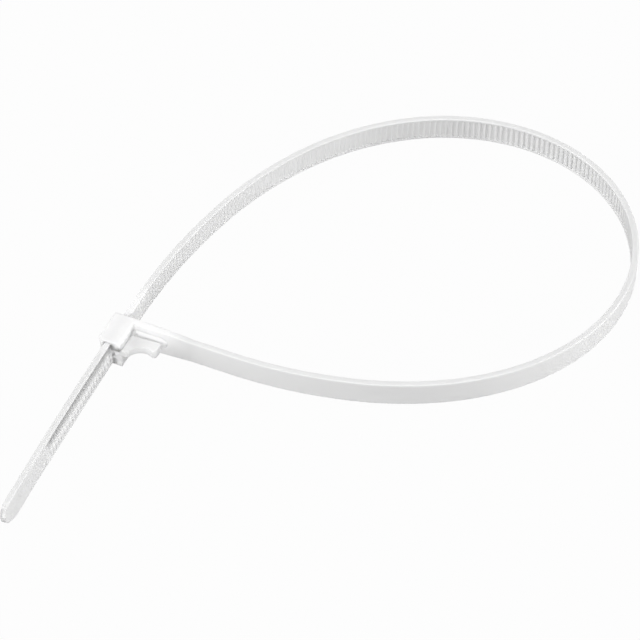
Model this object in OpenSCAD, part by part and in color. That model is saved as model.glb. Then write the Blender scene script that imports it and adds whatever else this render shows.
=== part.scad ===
// Releasable cable tie, closed into a loop and lying on the edge of its strap.
// Strap, rack of teeth, head, pawl, release lever and tail are one nylon moulding.
// The origin is on the head's underside, in line with the slot and halfway along it. X runs along the
// strap where it leaves the head, Y points into the loop, Z is up. The tail leaves the head towards -Y.

/* [Strap] */
// Width of the strap, its height as it lies here
strap_w = 7.6; // [6.8:0.1:8.4]
// Thickness of the strap over its rails
strap_t = 1.8; // [1.6:0.05:2]
// Radius of the strap's long edges
strap_edge_r = 0.4; // [0.2:0.05:0.5]
// Width of each smooth rail beside the rack
rail_w = 0.65; // [0.5:0.05:1]
// Depth of the recess the rack lies in
recess_d = 0.7; // [0.5:0.05:0.8]

/* [Rack] */
// Distance from one tooth to the next
tooth_pitch = 1.65; // [1.5:0.05:2]
// Height of a tooth above the floor of the recess
tooth_h = 0.6; // [0.4:0.05:0.65]
// Run of a tooth's steep face
tooth_rake = 0.2; // [0.1:0.05:0.3]
// Flat at the crest of a tooth
tooth_land = 0.25; // [0.15:0.05:0.4]

/* [Loop] */
// Tightest bend of the loop, opposite the head
bend_tight_r = 47.5; // [42:0.5:60]
// Flattest bend of the loop, next to the head
bend_flat_r = 350; // [200:10:600]
// Angle by which the tightest bend is off the middle of the loop
bend_skew = -3.7; // [-6:0.1:3]

/* [Tail] */
// Length of the toothed tail past the head
tail_toothed_l = 40; // [20:1:60]
// Length of the smooth finger tip
tip_l = 24; // [15:0.5:35]
// Radius of the tip's nose, level with the upper edge
tip_nose_r = 3; // [2:0.1:3.5]
// Angle of the cut that takes off the tip's lower corner
tip_cut_angle = 23; // [15:1:35]
// Thickness of the smooth tip
tip_t = 1.7; // [1.4:0.05:1.7]
// Thickness of the tip at its nose, taken off its plain side
tip_nose_t = 1.1; // [0.8:0.05:1.3]
// Length over which the tip thins to its nose
tip_thin_l = 7; // [5:0.5:10]
// Angle of the slight set left in the tail, up to the smooth tip
tail_set = 1.6; // [0.4:0.1:3]
// Angle by which the tail, the lever and the head's walls lean away from the neck
head_lean = 4; // [1:0.5:5]

/* [Head] */
// Height of the head, across its two cheeks
head_h = 9; // [9:0.1:11]
// Depth of the head along the slot
head_d = 11; // [10:0.1:12]
// Rise of the head's entry side above the inner face of the strap
head_rise = 0.3; // [0.1:0.1:0.6]
// Thickness of the wall behind the smooth face of the strap
head_back = 2.1; // [2:0.1:3]
// Reach of the head from the slot's middle towards the neck
head_front = 3.7; // [3.5:0.1:4]
// Radius of the head's upper and lower edges
head_edge_r = 0.8; // [0.4:0.1:0.9]
// Radius of the head's upright corners behind the strap
head_corner_r = 1.6; // [1:0.1:2]
// Clearance between the head and the strap in the slot
slot_gap = 0.07; // [0.05:0.01:0.12]

/* [Neck] */
// Distance from the slot's middle to the near end of the window
window_from = 2.75; // [2.5:0.05:3]
// Distance from the slot's middle to the far end of the window
window_end = 13.5; // [12.5:0.1:15]
// Height of the window
window_h = 3.9; // [3.4:0.1:4.2]
// Height of the wide part of the neck
neck_h = 8.9; // [8.4:0.1:8.9]
// Distance from the slot's middle to where the neck begins to narrow
neck_wide = 12; // [10:0.5:14]
// Distance from the slot's middle to where the neck has the strap's width
neck_end = 21; // [18:0.5:25]

/* [Pawl and release lever] */
// Height of the pawl and lever
pawl_h = 2.4; // [2:0.1:2.8]
// Thickness of the hinge the pawl bends at
hinge_t = 0.9; // [0.7:0.1:1.1]
// Number of teeth on the pawl
pawl_teeth = 3; // [1:1:3]
// Reach of the lever from the slot's middle
lever_reach = 12.7; // [11.6:0.1:13.4]
// Gap between the lever and the neck
lever_gap = 1.65; // [1.2:0.05:2]
// Depth of the lever's end, from its neck side to its tip
lever_end_d = 4; // [3.6:0.1:4.4]
// Radius of the hollow under the lever
lever_hollow_r = 4.2; // [3.9:0.1:4.4]
// Radius of the lever's outer corner
lever_corner_r = 0.9; // [0.5:0.1:1.2]
// Radius of the lever's tip
lever_tip_r = 1; // [0.8:0.1:1.2]
// Radius of the lever's long edges
lever_edge_r = 0.25; // [0.1:0.05:0.4]
// Clearance of the pocket above and below the pawl
pawl_gap = 0.15; // [0.1:0.05:0.4]

/* [Hidden] */
$fn = 48;
// reach of a cut past a face
past = 1;
// lap that joins an arc to the lines it touches, and the room that keeps two nearly equal faces apart
lap = 0.003;
hair = 0.02;
// half sizes used all through
half_w = strap_w / 2;
half_t = strap_t / 2;
rack_w = strap_w - 2 * rail_w;
mid_z = head_h / 2;

// The loop turns by three right angles in equal steps. Its bend follows a spring strip: the square of
// the curvature swings with the cosine of the heading.
loop_turn = 270;
loop_steps = 18;
step_turn = loop_turn / loop_steps;
peak_heading = loop_turn / 2 + bend_skew;
far_cos = min(cos(peak_heading), cos(loop_turn - peak_heading));
bend_swing = (1 / pow(bend_tight_r, 2) - 1 / pow(bend_flat_r, 2)) / (1 - far_cos);
bend_mean = 1 / pow(bend_tight_r, 2) - bend_swing;
function bend_r(i) = 1 / sqrt(bend_mean + bend_swing * cos((i + 0.5) * step_turn - peak_heading));
function bend_len(i) = bend_r(i) * step_turn * PI / 180;
function bend_move(i) = bend_r(i) * [
  sin((i + 1) * step_turn) - sin(i * step_turn),
  cos(i * step_turn) - cos((i + 1) * step_turn)
];
function bend_sum(n) = n == 0 ? [0, 0] : bend_sum(n - 1) + bend_move(n - 1);
loop_move = bend_sum(loop_steps);

// Entry and exit sides of the head, and the straight run of the tail past it
entry_y = half_t + head_rise;
exit_y = entry_y - head_d;
exit_run = 1;
lean_y = -2.65;
tail_bend_l = tail_toothed_l - exit_run;
tail_bend_r = tail_bend_l / tail_set * 180 / PI;

// The strap is a chain of stretches, each a length and a curvature, from the head's middle round the
// loop, through the head and out to the tip. The two straights beside the head close the loop. Inside
// the slot the strap changes from upright to leaning.
root_l = -loop_move[0];
entry_l = loop_move[1];
chain = concat(
  [[root_l, 0]],
  [for (i = [0 : loop_steps - 1]) [bend_len(i), 1 / bend_r(i)]],
  [[round(100 * (entry_l - lean_y)) / 100, 0]],
  [[lean_y - exit_y + exit_run, 0]],
  [[tail_bend_l, 1 / tail_bend_r]],
  [[tip_l, 1 / tail_bend_r]]
);
chain_n = len(chain);
// place of a point: distance along a stretch and offset to the inside of the bend, with its heading
function ahead(place, run, bend) =
  bend == 0
  ? [place[0] + run * cos(place[2]), place[1] + run * sin(place[2]), place[2]]
  : [
      place[0] + (sin(place[2] + run * bend * 180 / PI) - sin(place[2])) / bend,
      place[1] - (cos(place[2] + run * bend * 180 / PI) - cos(place[2])) / bend,
      place[2] + run * bend * 180 / PI
    ];
starts = [
  for (i = 0, place = [0, 0, 0]; i < chain_n; place = ahead(place, chain[i][0], chain[i][1]), i = i + 1)
  place
];
runs = [for (i = 0, run = 0; i < chain_n; run = run + chain[i][0], i = i + 1) run];
function stretch_at(run, i) = i == 0 || runs[i] <= run ? i : stretch_at(run, i - 1);
function at_stretch(run, side, i) =
  let (place = ahead(starts[i], run - runs[i], chain[i][1]))
  [place[0] - side * sin(place[2]), place[1] + side * cos(place[2])];
function at(run, side) = at_stretch(run, side, stretch_at(run, chain_n - 1));

// Runs of the slot's middle, of the rack and of the tip
slot_run = runs[loop_steps + 1] + entry_l;
rack_phase = 4.3;
lean_tooth = -1;
rack_from = neck_end + 1.5;
rack_to = runs[chain_n - 1] - 1.5;
rack_end_room = 0.6;
rack_first = ceil((rack_from - slot_run - rack_phase) / tooth_pitch);
rack_last = floor((rack_to - slot_run - rack_phase) / tooth_pitch) - 1;
function tooth_run(n) = slot_run + rack_phase + n * tooth_pitch;

// Levels across the strap, measured to the inside of the bend
floor_side = half_t - recess_d;
crest_side = floor_side + tooth_h;
clear_side = half_t + 0.6;

// Half-sections
slot_half_t = half_t + slot_gap;
slot_half_w = half_w + slot_gap / 2;

module rounded_box(w, h, r) {
  square([w - 2 * r, h], center = true);
  square([w, h - 2 * r], center = true);
  for (x = [r - w / 2, w / 2 - r]) {
    for (y = [r - h / 2, h / 2 - r]) {
      translate([x, y])
        circle(r);
    }
  }
}

// Leans the tail's end of the tie, top away from the neck
module leaned() {
  rotate([0, -head_lean, 0])
    children();
}

// Moves in a coarse and a fine step, so that neighbouring stretches share one face
module settle(x, y) {
  coarse = [round(100 * x) / 100, round(100 * y) / 100];
  translate([coarse[0], coarse[1], 0])
    translate([x - coarse[0], y - coarse[1], 0])
      children();
}

// Extrudes a section along +Y, with the section's Y upright, to end at the origin
module upright_run(run) {
  rotate([90, 0, 0])
    linear_extrude(run)
      children();
}

// Bend of a section about a centre on its inner side, starting from a heading
module bend(place, radius, turn) {
  settle(place[0] - radius * sin(place[2]), place[1] + radius * cos(place[2]))
    rotate_extrude(angle = turn, start = place[2] - 90, $fn = 180)
      settle(radius, 0)
        children();
}

module strap_section() {
  rounded_box(strap_t, strap_w, strap_edge_r);
}

// Straight at the root, from inside the head to the first bend
module root_stretch() {
  settle(root_l, 0)
    rotate([0, 0, -90])
      upright_run(ceil(root_l - head_front))
        strap_section();
}

module loop_bends() {
  for (i = [0 : loop_steps - 1]) {
    bend([starts[i + 1][0], starts[i + 1][1], i * step_turn], bend_r(i), step_turn)
      strap_section();
  }
}

// Straight into the head, up to where the strap begins to lean
module entry_stretch() {
  settle(0, starts[loop_steps + 1][1])
    upright_run(chain[loop_steps + 1][0])
      strap_section();
}

// Straight out of the head, the toothed tail and the smooth tip
module tail() {
  through = starts[loop_steps + 2];
  outer = starts[loop_steps + 3];
  settle(0, through[1])
    upright_run(chain[loop_steps + 2][0])
      strap_section();
  bend([0, outer[1], loop_turn], tail_bend_r, tail_set)
    strap_section();
  finger_tip();
}

// Smooth tip: a little below the rails, thinning to a round nose with the lower corner cut off
module finger_tip() {
  outer = starts[loop_steps + 3];
  place = starts[chain_n - 1];
  nose = [tip_l - tip_nose_r, half_w + hair - tip_nose_r];
  cut = nose + tip_nose_r * [sin(tip_cut_angle), -cos(tip_cut_angle)];
  tip_turn = round(1000 * tip_l / tail_bend_r * 180 / PI) / 1000;
  thin_angle = atan2(tip_t - tip_nose_t, tip_thin_l);
  intersection() {
    settle(tail_bend_r, outer[1])
      rotate_extrude(angle = tip_turn, start = loop_turn - 90 + tail_set, $fn = 180)
        settle(tail_bend_r, 0)
          translate([half_t - tip_t / 2, 0])
            rounded_box(tip_t, strap_w, strap_edge_r);
    translate([place[0], place[1], 0])
      rotate([0, 0, place[2]])
        rotate([90, 0, 0])
          translate([0, 0, -strap_t])
            linear_extrude(2 * strap_t) {
              polygon([
                [-past, -half_w - past],
                [cut[0] - (cut[1] + half_w + past) / tan(tip_cut_angle), -half_w - past],
                cut,
                nose,
                [nose[0], half_w + past],
                [-past, half_w + past]
              ]);
              translate(nose)
                circle(tip_nose_r + lap);
            }
    translate([place[0], place[1], -strap_w])
      rotate([0, 0, place[2]])
        translate([tip_l - tip_thin_l, -half_t])
          rotate([0, 0, thin_angle])
            translate([-tip_l, 0])
              cube([2 * tip_l, 2 * strap_t, 2 * strap_w]);
  }
}

// Recess on the inner face of the strap: one outline, with a tooth left standing every pitch
module rack_recess(first, last, room_before) {
  teeth = [
    for (n = [first : last])
      for (p = [[0, floor_side], [tooth_rake, crest_side], [tooth_rake + tooth_land, crest_side]])
        at(tooth_run(n) + p[0], p[1])
  ];
  clear = [for (n = [last + 1 : -1 : first]) at(tooth_run(n), clear_side)];
  translate([0, 0, -rack_w / 2])
    linear_extrude(rack_w)
      polygon(concat(
        room_before > 0
          ? [
              at(tooth_run(first) - room_before, clear_side),
              at(tooth_run(first) - room_before, floor_side)
            ]
          : [],
        teeth,
        [at(tooth_run(last + 1), floor_side)],
        clear
      ));
}

module strap() {
  color("ivory")
    difference() {
      union() {
        root_stretch();
        loop_bends();
        entry_stretch();
      }
      rack_recess(rack_first, lean_tooth - 1, rack_end_room);
    }
  color("ivory")
    leaned()
      difference() {
        tail();
        rack_recess(lean_tooth, rack_last, 0);
      }
}

// Section of the head across the slot: walls that lean, level top and underside, round edges
module head_section(w) {
  r = head_edge_r;
  wall = [cos(head_lean), sin(head_lean)];
  lift = [0, 1];
  corner_z = mid_z - r;
  corner_x = w / 2 / cos(head_lean) - r / cos(head_lean);
  slip = corner_z * tan(head_lean);
  top_left = [-corner_x - slip, corner_z];
  top_right = [corner_x - slip, corner_z];
  polygon([
    top_right + r * lift,
    top_left + r * lift,
    top_left - r * wall,
    -top_right - r * wall,
    -top_right - r * lift,
    -top_left - r * lift,
    r * wall - top_left,
    top_right + r * wall
  ]);
  for (corner = [top_left, top_right, -top_left, -top_right]) {
    translate(corner)
      circle(r + lap);
  }
}

// Plan of the head, with larger corners behind the strap
module head_plan(w, d) {
  back_x = head_corner_r - w / 2;
  front_x = w / 2 - head_edge_r;
  translate([back_x, -d / 2])
    square([front_x - back_x, d]);
  translate([-w / 2, head_corner_r - d / 2])
    square([w / 2, d - 2 * head_corner_r]);
  translate([0, head_edge_r - d / 2])
    square([w / 2, d - 2 * head_edge_r]);
  for (side = [-1, 1]) {
    translate([back_x, side * (d / 2 - head_corner_r)])
      circle(head_corner_r);
    translate([front_x, side * (d / 2 - head_edge_r)])
      circle(head_edge_r);
  }
}

// Block of the head, rounded along every edge
module head_block() {
  w = slot_half_t + head_back + head_front;
  mid_x = (head_front - slot_half_t - head_back) / 2;
  mid_y = entry_y - head_d / 2;
  translate([mid_x, mid_y, 0])
    intersection() {
      leaned()
        translate([0, 0, -mid_z - past])
          linear_extrude(head_h + 2 * past)
            head_plan(w + hair, head_d + hair);
      rotate([90, 0, 0])
        translate([0, 0, -head_d])
          linear_extrude(2 * head_d)
            head_section(w);
      rotate([90, 0, 90])
        translate([0, 0, -w])
          linear_extrude(2 * w)
            rounded_box(head_d, head_h + hair, head_edge_r);
    }
}

// Two arms along the strap's edges: level beside the window, then narrowing to the strap
module neck_arms() {
  arm_h = 2.2;
  rise = (neck_h - strap_w) / 2;
  lean = atan2(rise, neck_end - neck_wide);
  for (turn = [0, 180]) {
    rotate([turn, 0, 0]) {
      translate([neck_wide, 0, neck_h / 2 - arm_h / 2])
        rotate([0, -90, 0])
          linear_extrude(neck_wide - head_front + past)
            rounded_box(arm_h, strap_t, strap_edge_r);
      translate([neck_end, 0, half_w - arm_h / 2])
        rotate([0, lean, 0])
          rotate([0, -90, 0])
            linear_extrude((neck_end - neck_wide) / cos(lean) + 0.2)
              rounded_box(arm_h, strap_t, strap_edge_r);
    }
  }
}

// Window through the neck, round at its far end
module window() {
  round_x = window_end - window_h / 2;
  rotate([90, 0, 0])
    translate([0, 0, -strap_t])
      linear_extrude(2 * strap_t) {
        translate([window_from, -window_h / 2])
          square([round_x - window_from, window_h]);
        translate([round_x, 0])
          circle(window_h / 2);
      }
}

// Pocket for the pawl, open to the exit and to the neck side
hinge_y = -1.3;
module pawl_pocket() {
  pocket_h = pawl_h + 2 * pawl_gap;
  translate([0, exit_y - past, -pocket_h / 2])
    cube([head_front + 2 * past, hinge_y - exit_y + past, pocket_h]);
}

// Slot the tail passes through: upright at its entry, leaning further in
module slot() {
  overlap = 0.3;
  translate([-slot_half_t, lean_y - overlap, -slot_half_w])
    cube([2 * slot_half_t, entry_y - lean_y + overlap + past, 2 * slot_half_w]);
  leaned()
    translate([-slot_half_t, exit_y - past, -slot_half_w])
      cube([2 * slot_half_t, lean_y + overlap - exit_y + past, 2 * slot_half_w]);
}

// Plan of the pawl: hinge, body and teeth that sit in the rack
end_y = exit_y + 0.8;
module pawl_plan() {
  hinge_x = window_from - 0.05;
  tip_x = floor_side + slot_gap;
  gullet_x = crest_side + slot_gap;
  first_y = slot_gap - rack_phase;
  ramp_y = first_y + tooth_pitch - tooth_rake - tooth_land;
  polygon(concat(
    [
      [hinge_x, hinge_y + past],
      [hinge_x - hinge_t, hinge_y + past],
      [hinge_x - hinge_t, hinge_y - 0.8],
      [gullet_x + 0.4, ramp_y],
      [gullet_x, ramp_y]
    ],
    [
      for (n = [0 : pawl_teeth - 1])
        for (p = [[tip_x, 0], [gullet_x, tooth_rake], [gullet_x, tooth_rake + tooth_land]])
          [p[0], first_y - n * tooth_pitch - p[1]]
    ],
    [
      [gullet_x + 0.4, end_y],
      [hinge_x, end_y]
    ]
  ));
}

// Plan of the lever: a finger along the neck, hollowed on its outer side up to the tip
lever_y = -half_t - lever_gap;
module lever_plan() {
  root_x = window_from - 0.9;
  tip_y = lever_y - lever_end_d;
  tip_x = lever_reach - lever_tip_r - 0.1;
  hollow_x = tip_x - 2.45;
  hollow_y = tip_y - sqrt(pow(lever_hollow_r, 2) - pow(tip_x - hollow_x, 2)) + hair;
  difference() {
    union() {
      translate([root_x, end_y])
        square([hollow_x - root_x, lever_y - end_y]);
      translate([hollow_x - past, lever_y - lever_end_d / 2])
        square([lever_reach - lever_corner_r - hollow_x + past, lever_end_d / 2]);
      translate([hollow_x - past, tip_y])
        square([tip_x - hollow_x + past, lever_end_d / 2 + past]);
      translate([tip_x, tip_y + lever_tip_r])
        circle(lever_tip_r);
      polygon([
        [tip_x, tip_y + lever_tip_r],
        [tip_x + lever_tip_r, tip_y + lever_tip_r],
        [lever_reach, lever_y - lever_corner_r],
        [tip_x, lever_y - lever_corner_r]
      ]);
      translate([lever_reach - lever_corner_r, lever_y - lever_corner_r])
        circle(lever_corner_r);
    }
    translate([hollow_x, hollow_y])
      circle(lever_hollow_r);
  }
}

module pawl_and_lever() {
  depth = lever_y - end_y;
  color("snow")
    leaned() {
      translate([0, 0, -pawl_h / 2])
        linear_extrude(pawl_h)
          pawl_plan();
      intersection() {
        translate([0, 0, -past - pawl_h / 2])
          linear_extrude(pawl_h + 2 * past)
            lever_plan();
        translate([0, lever_y - depth / 2, 0])
          rotate([90, 0, 90])
            linear_extrude(lever_reach + past)
              rounded_box(depth + hair, pawl_h, lever_edge_r);
      }
    }
}

module head() {
  color("white")
    difference() {
      union() {
        head_block();
        neck_arms();
      }
      slot();
      leaned()
        pawl_pocket();
    }
}

// One moulding, moved from the strap's root to the origin under the head
module cable_tie() {
  translate([0, head_d / 2 - entry_y, mid_z]) {
    difference() {
      union() {
        strap();
        head();
      }
      window();
    }
    pawl_and_lever();
  }
}

cable_tie();
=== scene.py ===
import math

import bpy
from mathutils import Matrix, Vector


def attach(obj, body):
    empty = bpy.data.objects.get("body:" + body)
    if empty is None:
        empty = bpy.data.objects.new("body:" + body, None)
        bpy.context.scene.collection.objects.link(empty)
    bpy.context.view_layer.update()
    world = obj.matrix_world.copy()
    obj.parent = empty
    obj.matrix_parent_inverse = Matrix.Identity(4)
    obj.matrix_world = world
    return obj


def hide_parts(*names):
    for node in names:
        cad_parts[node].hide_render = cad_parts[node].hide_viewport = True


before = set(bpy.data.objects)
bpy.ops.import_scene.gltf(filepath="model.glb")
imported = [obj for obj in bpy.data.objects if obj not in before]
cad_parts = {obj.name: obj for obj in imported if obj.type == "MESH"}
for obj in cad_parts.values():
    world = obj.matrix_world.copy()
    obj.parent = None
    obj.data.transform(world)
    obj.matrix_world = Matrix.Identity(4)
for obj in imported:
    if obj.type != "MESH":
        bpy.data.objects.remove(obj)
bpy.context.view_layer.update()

# The view
# A long lens about three quarters of a metre away looks down over the head and into the loop. The tie
# lies flat, so the view is given by a turn about the upright and a height above the bench.
# Lengths are in metres, as in the frame, and sizes of the real object are written in millimetres.
MM = 0.001
view_turn = math.radians(23.73)
view_height = math.radians(47.23)
view_middle = Vector((47.97, 28.78, 4.5)) * MM
view_distance = 776.8 * MM

right = Vector((math.cos(view_turn), math.sin(view_turn), 0))
away = Vector((-math.sin(view_turn), math.cos(view_turn), 0))
up = Vector((0, 0, 1))


def aimed(place):
    turn = place.to_track_quat("Z", "Y").to_matrix().to_4x4()
    return Matrix.Translation(view_middle + place) @ turn


camera_data = bpy.data.cameras.new("camera")
camera_data.sensor_width = 36
camera_data.lens = 158.22
camera_data.clip_start = 0.05
camera_data.clip_end = 10
camera = bpy.data.objects.new("camera", camera_data)
to_camera = up * math.sin(view_height) - away * math.cos(view_height)
camera.matrix_world = aimed(to_camera * view_distance)
bpy.context.scene.collection.objects.link(camera)
bpy.context.scene.camera = camera


# The cable tie
# One nylon moulding: a toothed strap that runs round its loop and back through its own head, with the
# pawl and the release lever part of the same piece. The shape is the frame's own, and its facets are
# welded into one skin here, so that the bends and the rounded edges catch the light smoothly.
def linear(hex_colour):
    parts = [int(hex_colour[i : i + 2], 16) / 255 for i in (1, 3, 5)]
    return [p / 12.92 if p <= 0.04045 else ((p + 0.055) / 1.055) ** 2.4 for p in parts] + [1]


def add_node(material, kind, links=(), **settings):
    made = material.node_tree.nodes.new(kind)
    for name, value in settings.items():
        setattr(made, name, value)
    for socket, source in dict(links).items():
        if hasattr(source, "links"):
            material.node_tree.links.new(source, made.inputs[socket])
        else:
            made.inputs[socket].default_value = source
    return made


weld_gap = 0.002 * MM
flat_within = math.radians(0.5)
crease_from = math.radians(50)
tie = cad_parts["cable_tie"].copy()
tie.data = tie.data.copy()
tie.name = "moulded_tie"
tie.parent = None
bpy.context.scene.collection.objects.link(tie)
bpy.ops.object.select_all(action="DESELECT")
tie.select_set(True)
bpy.context.view_layer.objects.active = tie
bpy.ops.object.mode_set(mode="EDIT")
bpy.ops.mesh.select_all(action="SELECT")
bpy.ops.mesh.remove_doubles(threshold=weld_gap)
bpy.ops.mesh.dissolve_limited(angle_limit=flat_within)
bpy.ops.object.mode_set(mode="OBJECT")
bpy.ops.object.shade_smooth_by_angle(angle=crease_from)
even = tie.modifiers.new("even", "WEIGHTED_NORMAL")
even.weight = 100
even.keep_sharp = True
bpy.ops.object.modifier_apply(modifier="even")

# Natural nylon straight from the mould: a milky white with a satin skin, which lets in a little light.
# The strap's colour is painted a shade greyer than the head's. This is painted shade for the light that
# the thin strap throws back less than the thick head does. The strap's tone also clouds faintly, and the
# mould's wear and slight sinks in the faces keep the highlights broad and soft.
cloud_size = 14 * MM
wear_size = 2.5 * MM
sink_size = 6 * MM
sink_depth = 0.03 * MM
light_reach = 1.0 * MM
# Where the painted light on the head fades into the painted shade of the strap.
head_middle = (4 * MM, 4 * MM, 4.5 * MM)
head_ends = 9 * MM
strap_begins = 16 * MM
first_colour, second_colour, mixed_colour = 6, 7, 2  # the sockets of a Mix node that mixes colours

nylon = bpy.data.materials.new("natural_nylon")
nylon.use_nodes = True
shader = nylon.node_tree.nodes["Principled BSDF"]
shader.inputs["IOR"].default_value = 1.53
shader.inputs["Subsurface Weight"].default_value = 0.7
shader.inputs["Subsurface Radius"].default_value = (1.0, 1.0, 0.98)
shader.inputs["Subsurface Scale"].default_value = light_reach
place = add_node(nylon, "ShaderNodeTexCoord").outputs["Object"]
cloud = add_node(
    nylon, "ShaderNodeTexNoise", {"Vector": place, "Scale": 1 / cloud_size, "Detail": 2.0}
).outputs["Fac"]
# The strap's two greys: the cloud is the nylon's own tone, and both greys are painted shade, darker than
# the head.
clouded_strap_painted_greyer = add_node(
    nylon,
    "ShaderNodeMix",
    {"Factor": cloud, first_colour: linear("#E3E3E3"), second_colour: linear("#E9E9E9")},
    data_type="RGBA",
).outputs[mixed_colour]
from_head = add_node(
    nylon, "ShaderNodeVectorMath", {0: place, 1: head_middle}, operation="DISTANCE"
).outputs["Value"]
# Painted light and shade: the head is painted lighter and the strap greyer, blended between head_ends
# and strap_begins.
painted_strap_shade = add_node(
    nylon, "ShaderNodeMapRange", {"Value": from_head, "From Min": head_ends, "From Max": strap_begins}
).outputs["Result"]
painted_light_and_clouds = add_node(
    nylon,
    "ShaderNodeMix",
    {"Factor": painted_strap_shade, first_colour: linear("#FAFAFA"), second_colour: clouded_strap_painted_greyer},
    data_type="RGBA",
).outputs[mixed_colour]
wear = add_node(
    nylon, "ShaderNodeTexNoise", {"Vector": place, "Scale": 1 / wear_size, "Detail": 3.0}
).outputs["Fac"]
satin = add_node(
    nylon,
    "ShaderNodeMapRange",
    {"Value": wear, "From Min": 0.3, "From Max": 0.7, "To Min": 0.38, "To Max": 0.5},
).outputs["Result"]
sinks = add_node(
    nylon, "ShaderNodeTexNoise", {"Vector": place, "Scale": 1 / sink_size, "Detail": 1.0}
).outputs["Fac"]
skin = add_node(
    nylon, "ShaderNodeBump", {"Height": sinks, "Strength": 0.5, "Distance": sink_depth}
).outputs["Normal"]
nylon.node_tree.links.new(painted_light_and_clouds, shader.inputs["Base Color"])
nylon.node_tree.links.new(satin, shader.inputs["Roughness"])
nylon.node_tree.links.new(skin, shader.inputs["Normal"])
tie.data.materials.clear()
tie.data.materials.append(nylon)
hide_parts("cable_tie")
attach(tie, "root")

# The bench top
# White paper under the tie, seen as white by the eye and by anything glossy, with only a trace of the
# tie's shadow left on it. It throws back less light than it shows, so the tie's sides stay grey.
sheet_size = 4
share_of_white = 0.975
bpy.ops.object.select_all(action="DESELECT")
bpy.ops.mesh.primitive_plane_add(size=sheet_size, location=(view_middle.x, view_middle.y, 0))
paper = bpy.context.object
paper.name = "paper"
sheet = bpy.data.materials.new("white_paper")
sheet.use_nodes = True
sheet.node_tree.nodes.clear()
rays = add_node(sheet, "ShaderNodeLightPath").outputs
seen = add_node(
    sheet, "ShaderNodeMath", {0: rays["Is Camera Ray"], 1: rays["Is Glossy Ray"]}, operation="MAXIMUM"
).outputs[0]
seen = add_node(
    sheet, "ShaderNodeMath", {0: seen, 1: rays["Is Transmission Ray"]}, operation="MAXIMUM"
).outputs[0]
share = add_node(sheet, "ShaderNodeMath", {0: seen, 1: share_of_white}, operation="MULTIPLY").outputs[0]
matt = add_node(sheet, "ShaderNodeBsdfDiffuse", {"Color": linear("#909090")}).outputs[0]
lit = add_node(sheet, "ShaderNodeEmission", {"Color": (1, 1, 1, 1), "Strength": 1.0}).outputs[0]
mixed = add_node(sheet, "ShaderNodeMixShader", {0: share, 1: matt, 2: lit}).outputs[0]
add_node(sheet, "ShaderNodeOutputMaterial", {"Surface": mixed})
paper.data.materials.append(sheet)

# The light
# A plain white room and large round lamps, the strongest of them on the left and in front. The lamp on
# the right stands low, so that it shines into the recess of the strap, between its rails.
room_light = 0.22
lamp_reach = 0.9
lamp_rise = 0.35
low_rise = 0.17

room = bpy.data.worlds.new("room")
bpy.context.scene.world = room
room.use_nodes = True
room.node_tree.nodes["Background"].inputs["Color"].default_value = (1, 1, 1, 1)
room.node_tree.nodes["Background"].inputs["Strength"].default_value = room_light


def lamp(name, size, power, where):
    data = bpy.data.lights.new(name, "AREA")
    data.shape = "DISK"
    data.size = size
    data.energy = power
    made = bpy.data.objects.new(name, data)
    made.matrix_world = aimed(where)
    bpy.context.scene.collection.objects.link(made)


lamp("top", size=0.9, power=2.8, where=up * lamp_reach)
lamp("left", size=0.6, power=5.1, where=-right * lamp_reach + up * lamp_rise)
lamp("front", size=0.6, power=5.2, where=-away * lamp_reach + up * lamp_rise)
lamp("right", size=0.3, power=4.1, where=right * lamp_reach + up * low_rise)
lamp("back", size=0.6, power=1.9, where=away * lamp_reach + up * lamp_rise)

bpy.context.scene.view_settings.view_transform = "Standard"
